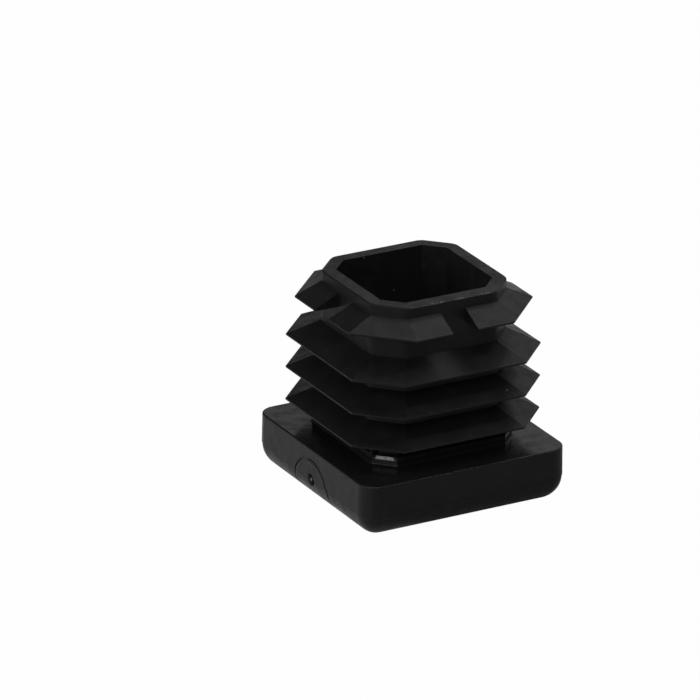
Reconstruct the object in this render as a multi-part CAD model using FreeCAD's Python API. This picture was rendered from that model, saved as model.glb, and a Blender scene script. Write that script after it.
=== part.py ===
"""Ribbed end cap for a square tube: one moulded piece, standing on the outer face of its head.

Frame, in millimetres: +Z runs along the tube, from the head into the tube. The origin is the
centre of the head's outer face. Heights of the insert are measured from the seat, which is the
face of the head that the tube's end meets.
"""

import FreeCAD
import Part
import math
import os

# Head
tube_side = 20.0
head_thickness = 5.0
head_corner_radius = 1.6
head_draft_deg = 0.8
seat_edge_round = 0.12
outer_face_round = 2.1
outer_round_share = 0.95
parting_drop = 2.7
parting_step = 0.06

# Gate mark on the head's -X side: an arched groove round a dimple with a torn-off nub
gate_arch_radius = 3.1
gate_groove_width = 0.16
gate_groove_depth = 0.1
gate_arch_drop = 4.05
gate_drop = 2.9
gate_mouth_radius = 0.6
gate_floor_radius = 0.35
gate_depth = 0.45
gate_nub_radius = 0.18
gate_nub_length = 0.35

# Shoulder that centres the cap in the tube
shoulder_side = 13.84
shoulder_corner = 1.58
shoulder_height = 1.0
shoulder_foot_round = 0.18
shoulder_foot_steps = 3
shoulder_bevel = 0.12

# Hollow core
core_side = 13.44
core_corner = 2.3
rim_above_split_fin = 0.99
core_edge_round = 1.2
rim_bevel = 0.1
wall = 1.22
hollow_floor = 2.5
hollow_draft_deg = 0.5
hollow_floor_round = 0.6

# Full fins
fin_count = 3
fin_side = 18.54
fin_corner = 3.35
fin_lip = 0.18
fin_rise = 1.32
fin_pitch = 3.02
lowest_fin_height = 2.25

# Split fin near the rim, cut into four corner pieces
split_fin_side = 18.12
split_fin_corner = 4.29
split_fin_rise = 1.1
split_fin_pitch = 3.87
split_fin_gap = 2.45

# Bevel under every fin's lip
lip_bevel = 0.06

# How far a cutting shape runs past the surface it cuts
overshoot = 1.0

seat = head_thickness
top_fin_height = lowest_fin_height + (fin_count - 1) * fin_pitch
split_fin_height = top_fin_height + split_fin_pitch
core_height = split_fin_height + fin_lip + split_fin_rise + rim_above_split_fin
rim = seat + core_height


def octagon(side, corner, z, inset=0):
    """Square wire of the given side at height z, its corners cut, all moved in by inset."""
    side = side - 2 * inset
    corner = corner - inset * (2 - math.sqrt(2))
    half = side / 2
    short = half - corner
    corners = [
        (half, -short), (half, short), (short, half), (-short, half),
        (-half, short), (-half, -short), (-short, -half), (short, -half),
    ]
    points = [FreeCAD.Vector(x, y, z) for x, y in corners]
    return Part.makePolygon(points + points[:1])


def rounded_square(half, radius, z):
    """Square wire of the given half side at height z, with round corners."""
    flat = half - radius
    diagonal = radius * math.sqrt(0.5)
    edges = []
    for quarter in range(4):
        turn = FreeCAD.Rotation(FreeCAD.Vector(0, 0, 1), 90 * quarter)
        side_start = turn.multVec(FreeCAD.Vector(half, -flat, z))
        side_end = turn.multVec(FreeCAD.Vector(half, flat, z))
        arc_middle = turn.multVec(FreeCAD.Vector(flat + diagonal, flat + diagonal, z))
        arc_end = turn.multVec(FreeCAD.Vector(flat, half, z))
        edges.append(Part.makeLine(side_start, side_end))
        edges.append(Part.Arc(side_end, arc_middle, arc_end).toShape())
    return Part.Wire(edges)


def tapered(low_wire, high_wire):
    """Solid with flat ruled sides between two like wires."""
    return Part.makeLoft([low_wire, high_wire], True, True)


def prism(wire, height):
    """Straight solid that stands on the wire."""
    return Part.Face(wire).extrude(FreeCAD.Vector(0, 0, height))


def level_edges(solid, z):
    """Edges that lie wholly at height z."""
    return [
        edge for edge in solid.Edges
        if abs(edge.BoundBox.ZMin - z) < 1e-6 and abs(edge.BoundBox.ZMax - z) < 1e-6
    ]


def upright_edges(solid):
    """Straight edges that run along Z."""
    found = []
    for edge in solid.Edges:
        if edge.BoundBox.XLength < 1e-6 and edge.BoundBox.YLength < 1e-6:
            found.append(edge)
    return found


def head_solid(inset):
    """Head, its sides moved in by inset: a drafted upper half over a stepped-in, rounded lower half."""
    parting = head_thickness - parting_drop
    half = tube_side / 2 - inset
    radius = head_corner_radius - inset
    lean = parting_drop * math.tan(math.radians(head_draft_deg))
    upper = tapered(
        rounded_square(half, radius, parting),
        rounded_square(half - lean, radius - lean, head_thickness),
    )
    upper = upper.makeFillet(seat_edge_round, level_edges(upper, head_thickness))
    lower = prism(rounded_square(half - parting_step, radius - parting_step, 0), parting)
    bend = min(outer_face_round, parting * outer_round_share)
    lower = lower.makeFillet(bend, level_edges(lower, 0))
    return upper.fuse(lower)


def gate_mark():
    """Material taken off the head at the gate: an arched groove, and a dimple around the gate's nub."""
    side = -tube_side / 2
    inward = FreeCAD.Vector(1, 0, 0)
    arch_centre = FreeCAD.Vector(side - overshoot, 0, seat - gate_arch_drop)
    reach = overshoot + outer_face_round
    inner_radius = gate_arch_radius - gate_groove_width
    groove = Part.makeCylinder(gate_arch_radius, reach, arch_centre, inward)
    groove = groove.cut(Part.makeCylinder(inner_radius, reach, arch_centre, inward))
    groove = groove.cut(head_solid(gate_groove_depth))
    gate_mouth = FreeCAD.Vector(side, 0, seat - gate_drop)
    dimple = Part.makeCone(gate_mouth_radius, gate_floor_radius, gate_depth, gate_mouth, inward)
    gate_floor = gate_mouth + inward * gate_depth
    nub = Part.makeCylinder(gate_nub_radius, gate_nub_length, gate_floor, -inward)
    return groove.fuse(dimple.cut(nub))


def fin(side, corner, rise, height):
    """Fin with a flat underside, a thin bevelled lip and a top that rises inwards to the core."""
    low = seat + height
    bevel = tapered(octagon(side, corner, low, lip_bevel), octagon(side, corner, low + lip_bevel))
    lip = prism(octagon(side, corner, low + lip_bevel), fin_lip - lip_bevel)
    slope = tapered(
        octagon(side, corner, low + fin_lip),
        octagon(core_side, core_corner, low + fin_lip + rise),
    )
    return bevel.fuse([lip, slope]).removeSplitter()


def split_fin():
    """Topmost fin, interrupted at the middle of each side, which leaves four corner pieces."""
    pieces = fin(split_fin_side, split_fin_corner, split_fin_rise, split_fin_height)
    slot_length = split_fin_side + 2 * overshoot
    slot_height = fin_lip + split_fin_rise + 2 * overshoot
    for long_x, long_y in ((slot_length, split_fin_gap), (split_fin_gap, slot_length)):
        corner = FreeCAD.Vector(-long_x / 2, -long_y / 2, seat + split_fin_height - overshoot)
        pieces = pieces.cut(Part.makeBox(long_x, long_y, slot_height, corner))
    return pieces


def shoulder():
    """Low octagonal step round the foot of the core, flared into the seat and bevelled at its top."""
    top = seat + shoulder_height
    outlines = []
    for step in range(shoulder_foot_steps + 1):
        turn = math.radians(90 * step / shoulder_foot_steps)
        height = seat + shoulder_foot_round * (1 - math.cos(turn))
        spread = shoulder_foot_round * (1 - math.sin(turn))
        outlines.append(octagon(shoulder_side, shoulder_corner, height, -spread))
    outlines.append(octagon(shoulder_side, shoulder_corner, top - shoulder_bevel))
    outlines.append(octagon(shoulder_side, shoulder_corner, top, shoulder_bevel))
    levels = [tapered(low, high) for low, high in zip(outlines, outlines[1:])]
    return levels[0].fuse(levels[1:])


def core():
    """Octagonal column that carries the fins, rooted in the head."""
    column = prism(octagon(core_side, core_corner, hollow_floor), rim - hollow_floor)
    column = column.makeFillet(core_edge_round, upright_edges(column))
    return column.makeChamfer(rim_bevel, level_edges(column, rim))


def hollow():
    """Blind octagonal hollow, open at the rim and a little narrower at its floor."""
    mouth_side = core_side - 2 * wall
    mouth_corner = core_corner - wall * (2 - math.sqrt(2))
    depth = rim - hollow_floor
    lean = depth * math.tan(math.radians(hollow_draft_deg))
    space = tapered(
        octagon(mouth_side - 2 * lean, mouth_corner, hollow_floor),
        octagon(mouth_side, mouth_corner, rim),
    )
    space = space.makeFillet(hollow_floor_round, level_edges(space, hollow_floor))
    return space.fuse(prism(octagon(mouth_side, mouth_corner, rim), overshoot))


def end_cap():
    """The whole moulding as one solid."""
    body = head_solid(0).cut(gate_mark())
    body = body.fuse([shoulder(), core()])
    for index in range(fin_count):
        body = body.fuse(fin(fin_side, fin_corner, fin_rise, lowest_fin_height + index * fin_pitch))
    body = body.fuse(split_fin())
    return body.cut(hollow()).removeSplitter()


os.makedirs("parts", exist_ok=True)
cap = end_cap()
cap.exportStep("parts/end_cap.step")
print("solids", len(cap.Solids), "valid", cap.isValid(), "volume", round(cap.Volume, 2))
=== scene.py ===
"""Dresses the tube end cap: camera, soft studio light, white ground and moulded black plastic."""

import math
from types import SimpleNamespace

import bpy
from mathutils import Matrix, Vector

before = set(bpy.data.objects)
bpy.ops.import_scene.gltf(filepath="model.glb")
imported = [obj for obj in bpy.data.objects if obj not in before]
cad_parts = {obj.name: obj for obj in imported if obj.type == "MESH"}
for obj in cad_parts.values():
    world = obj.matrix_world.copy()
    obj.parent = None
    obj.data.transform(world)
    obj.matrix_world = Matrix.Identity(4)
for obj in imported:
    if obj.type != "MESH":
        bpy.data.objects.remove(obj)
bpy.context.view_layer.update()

MM = 0.001

# Camera: the photograph's viewing angle in degrees, its distance and clipping in metres, its frame in pixels
VIEW_AZIMUTH = -29.31
VIEW_ELEVATION = 22.45
VIEW_ROLL = 0.66
VIEW_DISTANCE = 0.631
VIEW_CLIP = (0.01, 20)
FRAME_PIXELS = 700
FOCAL_PIXELS = 7303
SENSOR_WIDTH = 36.0
AIM_POINT = Vector((0, 0, 9.635 * MM))
AIM_PIXEL = (412.49, 378.70)

# Lamps: name, place and size in metres, power in watts
LAMP_AIM = (0, 0, 0.01)
LAMPS = [
    ("left", (-0.87, 0.22, 0.34), (0.5, 0.5), 3.7),
    ("front", (-0.30, -0.72, 0.60), (0.4, 0.4), 3.0),
    ("overhead", (0, 0, 1.0), (0.9, 0.9), 3.3),
    ("high_behind", (0.30, 0.24, 0.80), (0.5, 0.5), 1.0),
    ("low_behind", (0.67, 0.47, 0.39), (0.9, 0.35), 0.58),
    ("glint", (-0.75, -0.43, 0.25), (0.15, 0.15), 1.4),
    ("edge_glint", (0.41, -0.34, 0.73), (0.12, 0.12), 1.3),
    ("right", (0.75, 0.0, 0.6), (0.5, 0.5), 1.2),
]

# Ground, and the two pools of light that glossy surfaces see in it
GROUND_SIZE = 3.0
GROUND_DROP = 0.02 * MM
GROUND_GREY = 0.35
GROUND_WHITE_SHARE = 0.985
LEFT_POOL_SHARE = 0.5
LEFT_POOL_SIDE = (-8 * MM, 6 * MM)
LEFT_POOL_REACH = (25 * MM, 60 * MM)
RIGHT_POOL_SHARE = 0.7
RIGHT_POOL_SIDE = (40 * MM, 120 * MM)
RIGHT_POOL_BACK = (-120 * MM, 0.0)
SKY_STRENGTH = 0.05

# Places on the cap that the finish follows
SOFT_EDGE = 0.08 * MM
SEAT_HEIGHT = 5.0 * MM
HEAD_SKIN = (-9.5 * MM, -9.3 * MM)
FACE_GRAIN_HALF = 7.6 * MM
FACE_GRAIN_BORDER = 0.25 * MM
PARTING_HEIGHT = 1.95 * MM
PARTING_HALF = 0.09 * MM
NECK_TOP = 6.1 * MM
NECK_INSIDE = 6.0 * MM
NECK_BEVEL = (5.57 * MM, 5.98 * MM)
NECK_EDGE = 1.58 * MM
NECK_EDGE_HALF = 0.5 * MM
NECK_EDGE_FADE = 0.8
FRONT_CORNER = (-11.0 * MM, -10.0 * MM)
SIDE_MARK_HALF = 0.09 * MM
SIDE_MARK_HEIGHT = 3.0 * MM
SIDE_MARK_REACH = 0.9 * MM
GATE_RING_HEIGHT = 0.95 * MM
GATE_RING_RADIUS = 2.7 * MM
GATE_RING_HALF = 0.12 * MM
GATE_TIP = (-9.85 * MM, 0.05 * MM, 2.2 * MM)
GATE_TIP_RADIUS = 0.22 * MM
GATE_TIP_CORE = 0.6

# Noises: scale in cells to the metre, and detail
GRAIN_NOISE = (7000.0, 2.0)
PIT_NOISE = (3200.0, 2.0)
RIPPLE_NOISE = (260.0, 1.0)
DRAW_NOISE = (4000.0, 2.0)
DRAW_STRETCH = (1, 1, 0.04)
FACE_NOISE = (5200.0, 3.0)
HAZE_NOISE = (420.0, 4.0)
WEAR_NOISE = (900.0, 5.0)

# Heights of the relief, in millimetres, and the share of the first three that is left on the seat
GRAIN_RELIEF = 0.01
PIT_RELIEF = 0.009
RIPPLE_RELIEF = 0.03
SEAT_RELIEF_SHARE = 0.3
GATE_RING_RELIEF = 0.03
PARTING_RELIEF = 0.02
DRAW_RELIEF = 0.003
FACE_RELIEF = 0.05
NECK_RELIEF = 0.16
SIDE_MARK_RELIEF = 0.04

# Dust: specks in some of the cells of a cell pattern, and a thin haze
SPECK_SCALE = 620.0
SPECK_EDGE = (0.03, 0.06)
SPECK_CHOICE = (0.62, 0.64)
HAZE_RANGE = (0.45, 0.8)
HAZE_SHARE = 0.03
SIDE_MARK_DUST = 0.03

# Plastic: colours, refraction, and roughness with what each zone or pattern adds to it
BLACK = (0.006, 0.006, 0.0063, 1)
DUST = (0.09, 0.09, 0.088, 1)
IOR = 1.45
SPECULAR_LEVEL = 0.2
ROUGHNESS = 0.37
SEAT_ROUGHNESS = 0.22
HEAD_ADDS = -0.05
FACE_ADDS = 0.16
SPECK_ADDS = 0.2
WEAR_RANGE = (0.35, 0.7)
WEAR_ADDS = (-0.05, 0.08)
GRAIN_RANGE = (0.4, 0.7)
GRAIN_ADDS = (-0.03, 0.1)

# What a ramp gives at its two ends
RISE = (0.0, 1.0)
FALL = (1.0, 0.0)


def add_camera():
    """Camera that shows AIM_POINT at AIM_PIXEL, with no lens shift."""
    azimuth, elevation, roll = (math.radians(v) for v in (VIEW_AZIMUTH, VIEW_ELEVATION, VIEW_ROLL))
    back = Vector((
        math.sin(azimuth) * math.cos(elevation),
        -math.cos(azimuth) * math.cos(elevation),
        math.sin(elevation),
    ))
    level_right = (-back).cross(Vector((0, 0, 1))).normalized()
    level_up = level_right.cross(-back)
    right = level_right * math.cos(roll) + level_up * math.sin(roll)
    up = level_up * math.cos(roll) - level_right * math.sin(roll)
    centre = FRAME_PIXELS / 2
    offset_right = (AIM_PIXEL[0] - centre) / FOCAL_PIXELS * VIEW_DISTANCE
    offset_up = (centre - AIM_PIXEL[1]) / FOCAL_PIXELS * VIEW_DISTANCE
    place = AIM_POINT + back * VIEW_DISTANCE - right * offset_right - up * offset_up

    data = bpy.data.cameras.new("camera")
    data.sensor_width = SENSOR_WIDTH
    data.lens = FOCAL_PIXELS / FRAME_PIXELS * SENSOR_WIDTH
    data.clip_start, data.clip_end = VIEW_CLIP
    camera = bpy.data.objects.new("camera", data)
    bpy.context.collection.objects.link(camera)
    turn = Matrix((right, up, back)).transposed().to_4x4()
    camera.matrix_world = Matrix.Translation(place) @ turn
    bpy.context.scene.camera = camera


def add_lamp(name, place, size, power):
    """White rectangular area lamp at a place, facing LAMP_AIM."""
    data = bpy.data.lights.new(name, "AREA")
    data.shape = "RECTANGLE"
    data.size, data.size_y = size
    data.energy = power
    lamp = bpy.data.objects.new(name, data)
    bpy.context.collection.objects.link(lamp)
    lamp.location = place
    lamp.rotation_mode = "QUATERNION"
    lamp.rotation_quaternion = (Vector(LAMP_AIM) - Vector(place)).to_track_quat("-Z", "Y")


def new_material(name):
    """Empty node material: the material, its node tree and its output node."""
    material = bpy.data.materials.new(name)
    material.use_nodes = True
    tree = material.node_tree
    tree.nodes.clear()
    output = tree.nodes.new("ShaderNodeOutputMaterial")
    return material, tree, output


def feed(tree, socket, value):
    """Gives an input socket a plain value or the output of another node."""
    if isinstance(value, bpy.types.NodeSocket):
        tree.links.new(value, socket)
    else:
        socket.default_value = value


def math_node(tree, operation, first, second=0.0):
    """Output of one Math node."""
    node = tree.nodes.new("ShaderNodeMath")
    node.operation = operation
    feed(tree, node.inputs[0], first)
    feed(tree, node.inputs[1], second)
    return node.outputs[0]


def joined(tree, operation, values):
    """Several values taken one after another through one operation."""
    result = values[0]
    for value in values[1:]:
        result = math_node(tree, operation, result, value)
    return result


def plus(tree, *values):
    """Sum of several values."""
    return joined(tree, "ADD", values)


def times(tree, *values):
    """Product of several values."""
    return joined(tree, "MULTIPLY", values)


def minus(tree, first, second):
    """Difference of two values."""
    return math_node(tree, "SUBTRACT", first, second)


def unsigned(tree, value):
    """Value without its sign."""
    return math_node(tree, "ABSOLUTE", value)


def ramp(tree, value, low, high, ends=RISE, style="SMOOTHSTEP"):
    """Value carried from the range low..high to the two ends."""
    node = tree.nodes.new("ShaderNodeMapRange")
    node.interpolation_type = style
    feed(tree, node.inputs["Value"], value)
    node.inputs["From Min"].default_value = low
    node.inputs["From Max"].default_value = high
    node.inputs["To Min"].default_value = ends[0]
    node.inputs["To Max"].default_value = ends[1]
    return node.outputs["Result"]


def band(tree, value, centre, half_width):
    """1 where the value is at the centre, falling to 0 at half_width from it."""
    return ramp(tree, unsigned(tree, minus(tree, value, centre)), 0.0, half_width, FALL)


def noise(tree, place, kind, stretch=None):
    """Noise of one kind, its scale and detail, drawn out along an axis by stretch."""
    if stretch:
        mapping = tree.nodes.new("ShaderNodeMapping")
        mapping.inputs["Scale"].default_value = stretch
        tree.links.new(place, mapping.inputs["Vector"])
        place = mapping.outputs["Vector"]
    node = tree.nodes.new("ShaderNodeTexNoise")
    node.inputs["Scale"].default_value, node.inputs["Detail"].default_value = kind
    tree.links.new(place, node.inputs["Vector"])
    return node.outputs["Fac"]


def object_place(tree):
    """Place on the object, in its own frame, and that place's x, y and z."""
    coordinates = tree.nodes.new("ShaderNodeTexCoord")
    place = coordinates.outputs["Object"]
    split = tree.nodes.new("ShaderNodeSeparateXYZ")
    tree.links.new(place, split.inputs["Vector"])
    return place, *split.outputs


def distance(tree, place, point=(0, 0, 0)):
    """Distance of a place from a fixed point."""
    node = tree.nodes.new("ShaderNodeVectorMath")
    node.operation = "DISTANCE"
    tree.links.new(place, node.inputs[0])
    node.inputs[1].default_value = point
    return node.outputs["Value"]


def light_pools(tree):
    """Share of white in the ground's gloss: a pool near the cap on its left, and a far one on its right."""
    place, x, y, _ = object_place(tree)
    left = times(
        tree,
        ramp(tree, minus(tree, y, x), *LEFT_POOL_SIDE, (0.0, LEFT_POOL_SHARE)),
        ramp(tree, distance(tree, place), *LEFT_POOL_REACH, FALL),
    )
    right = times(
        tree,
        ramp(tree, x, *RIGHT_POOL_SIDE, (0.0, RIGHT_POOL_SHARE)),
        ramp(tree, y, *RIGHT_POOL_BACK),
    )
    return plus(tree, left, right)


def ground_material():
    """Pale ground that reads white in the picture and keeps a faint shadow."""
    material, tree, output = new_material("pale_ground")
    path = tree.nodes.new("ShaderNodeLightPath")
    pale = tree.nodes.new("ShaderNodeBsdfDiffuse")
    pale.inputs["Color"].default_value = (GROUND_GREY, GROUND_GREY, GROUND_GREY, 1)
    white = tree.nodes.new("ShaderNodeEmission")
    share = plus(
        tree,
        times(tree, path.outputs["Is Camera Ray"], GROUND_WHITE_SHARE),
        times(tree, path.outputs["Is Glossy Ray"], light_pools(tree)),
    )
    mix = tree.nodes.new("ShaderNodeMixShader")
    tree.links.new(share, mix.inputs["Fac"])
    tree.links.new(pale.outputs["BSDF"], mix.inputs[1])
    tree.links.new(white.outputs["Emission"], mix.inputs[2])
    tree.links.new(mix.outputs["Shader"], output.inputs["Surface"])
    return material


def add_ground():
    """Large square ground sheet, a hair below the face the cap stands on, so that the two don't clash."""
    mesh = bpy.data.meshes.new("ground")
    half = GROUND_SIZE / 2
    corners = [(-half, -half), (half, -half), (half, half), (-half, half)]
    mesh.from_pydata([(x, y, -GROUND_DROP) for x, y in corners], [], [(0, 1, 2, 3)])
    ground = bpy.data.objects.new("ground", mesh)
    bpy.context.collection.objects.link(ground)
    mesh.materials.append(ground_material())


def set_world():
    """White to the camera, and a dim grey to everything else."""
    world = bpy.data.worlds.new("studio")
    bpy.context.scene.world = world
    world.use_nodes = True
    tree = world.node_tree
    tree.nodes.clear()
    output = tree.nodes.new("ShaderNodeOutputWorld")
    path = tree.nodes.new("ShaderNodeLightPath")
    strength = ramp(tree, path.outputs["Is Camera Ray"], 0.0, 1.0, (SKY_STRENGTH, 1.0))
    sky = tree.nodes.new("ShaderNodeBackground")
    sky.inputs["Color"].default_value = (1, 1, 1, 1)
    tree.links.new(strength, sky.inputs["Strength"])
    tree.links.new(sky.outputs["Background"], output.inputs["Surface"])


def neck_bevel(tree, x, y, z, neck):
    """Bevel at the top of the shoulder, 1 below it and 0 above it, fading at the front corner's edges."""
    bevel = times(tree, ramp(tree, z, *NECK_BEVEL, FALL, "LINEAR"), neck)
    from_diagonal = unsigned(tree, minus(tree, unsigned(tree, x), unsigned(tree, y)))
    fade = times(
        tree,
        band(tree, from_diagonal, NECK_EDGE, NECK_EDGE_HALF),
        ramp(tree, z, NECK_TOP, NECK_TOP + SOFT_EDGE, (NECK_EDGE_FADE, 0.0)),
        ramp(tree, plus(tree, x, y), *FRONT_CORNER, FALL),
    )
    return plus(tree, bevel, times(tree, minus(tree, 1.0, bevel), fade, neck))


def side_mark(tree, x, y, z, head):
    """Short upright moulding mark at the middle of the head's -Y side."""
    return times(
        tree,
        band(tree, x, 0.0, SIDE_MARK_HALF),
        head,
        band(tree, z, SIDE_MARK_HEIGHT, SIDE_MARK_REACH),
        ramp(tree, y, *HEAD_SKIN, FALL),
    )


def gate_ring(tree, x, y, z):
    """Inner ring of the gate mark on the head's -X side."""
    on_side = tree.nodes.new("ShaderNodeCombineXYZ")
    tree.links.new(y, on_side.inputs["Y"])
    tree.links.new(minus(tree, z, GATE_RING_HEIGHT), on_side.inputs["Z"])
    from_centre = distance(tree, on_side.outputs["Vector"])
    ring = band(tree, from_centre, GATE_RING_RADIUS, GATE_RING_HALF)
    return times(tree, ring, ramp(tree, x, *HEAD_SKIN, FALL))


def specks(tree, place):
    """Small specks of dust, one in some of the cells of a cell pattern."""
    cells = tree.nodes.new("ShaderNodeTexVoronoi")
    cells.inputs["Scale"].default_value = SPECK_SCALE
    tree.links.new(place, cells.inputs["Vector"])
    pick = tree.nodes.new("ShaderNodeSeparateColor")
    tree.links.new(cells.outputs["Color"], pick.inputs["Color"])
    dot = ramp(tree, cells.outputs["Distance"], *SPECK_EDGE, FALL)
    return times(tree, dot, ramp(tree, pick.outputs["Red"], *SPECK_CHOICE))


def cap_places(tree):
    """What the cap's finish is made from: the place, the share in each zone, and each mark and pattern."""
    place, x, y, z = object_place(tree)
    off_axis = math_node(tree, "MAXIMUM", unsigned(tree, x), unsigned(tree, y))
    head = ramp(tree, z, SEAT_HEIGHT - 3 * SOFT_EDGE, SEAT_HEIGHT - 2 * SOFT_EDGE, FALL)
    neck = ramp(tree, off_axis, NECK_INSIDE, NECK_INSIDE + SOFT_EDGE)
    seat = times(
        tree,
        ramp(tree, z, SEAT_HEIGHT - SOFT_EDGE, SEAT_HEIGHT),
        ramp(tree, z, NECK_TOP, NECK_TOP + SOFT_EDGE, FALL),
    )
    face = times(
        tree,
        band(tree, z, 0.0, SOFT_EDGE),
        ramp(tree, off_axis, FACE_GRAIN_HALF - FACE_GRAIN_BORDER, FACE_GRAIN_HALF, FALL),
    )
    return SimpleNamespace(
        place=place, head=head, seat=seat, face=face,
        neck_bevel=neck_bevel(tree, x, y, z, neck),
        side_mark=side_mark(tree, x, y, z, head),
        gate_ring=gate_ring(tree, x, y, z),
        parting_line=band(tree, z, PARTING_HEIGHT, PARTING_HALF),
        grain=noise(tree, place, GRAIN_NOISE),
        speck=specks(tree, place),
    )


def cap_relief(tree, cap):
    """Normal of the cap's surface, from the sum of all its relief."""
    texture = plus(
        tree,
        times(tree, cap.grain, GRAIN_RELIEF),
        times(tree, noise(tree, cap.place, PIT_NOISE), PIT_RELIEF),
        times(tree, noise(tree, cap.place, RIPPLE_NOISE), RIPPLE_RELIEF),
    )
    height = plus(
        tree,
        times(tree, texture, ramp(tree, cap.seat, 0.0, 1.0, (1.0, SEAT_RELIEF_SHARE))),
        times(tree, cap.gate_ring, GATE_RING_RELIEF),
        times(tree, cap.parting_line, PARTING_RELIEF),
        times(tree, noise(tree, cap.place, DRAW_NOISE, DRAW_STRETCH), cap.head, DRAW_RELIEF),
        times(tree, noise(tree, cap.place, FACE_NOISE), cap.face, FACE_RELIEF),
        times(tree, cap.neck_bevel, NECK_RELIEF),
        times(tree, cap.side_mark, SIDE_MARK_RELIEF),
    )
    bump = tree.nodes.new("ShaderNodeBump")
    bump.inputs["Distance"].default_value = MM
    tree.links.new(height, bump.inputs["Height"])
    return bump.outputs["Normal"]


def cap_colour(tree, cap):
    """Black, lightened by dust, by a faint haze and at the gate's torn tip."""
    tip_core = GATE_TIP_CORE * GATE_TIP_RADIUS
    dust = plus(
        tree,
        cap.speck,
        ramp(tree, noise(tree, cap.place, HAZE_NOISE), *HAZE_RANGE, (0.0, HAZE_SHARE)),
        ramp(tree, distance(tree, cap.place, GATE_TIP), tip_core, GATE_TIP_RADIUS, FALL),
        times(tree, cap.side_mark, SIDE_MARK_DUST),
    )
    colour = tree.nodes.new("ShaderNodeMix")
    colour.data_type = "RGBA"
    tree.links.new(dust, colour.inputs["Factor"])
    colour.inputs["A"].default_value = BLACK
    colour.inputs["B"].default_value = DUST
    return colour.outputs["Result"]


def cap_roughness(tree, cap):
    """Satin finish, glossier on the seat, with uneven wear and a mottle that follows the grain."""
    mottle = ramp(tree, cap.grain, *GRAIN_RANGE, GRAIN_ADDS, "LINEAR")
    return plus(
        tree,
        ramp(tree, noise(tree, cap.place, WEAR_NOISE), *WEAR_RANGE, WEAR_ADDS),
        ramp(tree, cap.seat, 0.0, 1.0, (ROUGHNESS, SEAT_ROUGHNESS)),
        times(tree, cap.head, HEAD_ADDS),
        times(tree, cap.face, FACE_ADDS),
        times(tree, cap.speck, SPECK_ADDS),
        times(tree, mottle, ramp(tree, cap.seat, 0.0, 1.0, FALL)),
    )


def black_plastic():
    """Satin black moulded plastic, glossier on the seat, grained on the outer face and a little dusty."""
    material, tree, output = new_material("black_plastic")
    cap = cap_places(tree)
    shader = tree.nodes.new("ShaderNodeBsdfPrincipled")
    shader.inputs["IOR"].default_value = IOR
    shader.inputs["Specular IOR Level"].default_value = SPECULAR_LEVEL
    tree.links.new(cap_colour(tree, cap), shader.inputs["Base Color"])
    tree.links.new(cap_roughness(tree, cap), shader.inputs["Roughness"])
    tree.links.new(cap_relief(tree, cap), shader.inputs["Normal"])
    tree.links.new(shader.outputs["BSDF"], output.inputs["Surface"])
    return material


def dress_cap():
    """Gives the cap its plastic."""
    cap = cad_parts["end_cap"]
    cap.data.materials.clear()
    cap.data.materials.append(black_plastic())


bpy.context.scene.view_settings.view_transform = "Standard"
add_camera()
add_ground()
set_world()
for lamp in LAMPS:
    add_lamp(*lamp)
dress_cap()
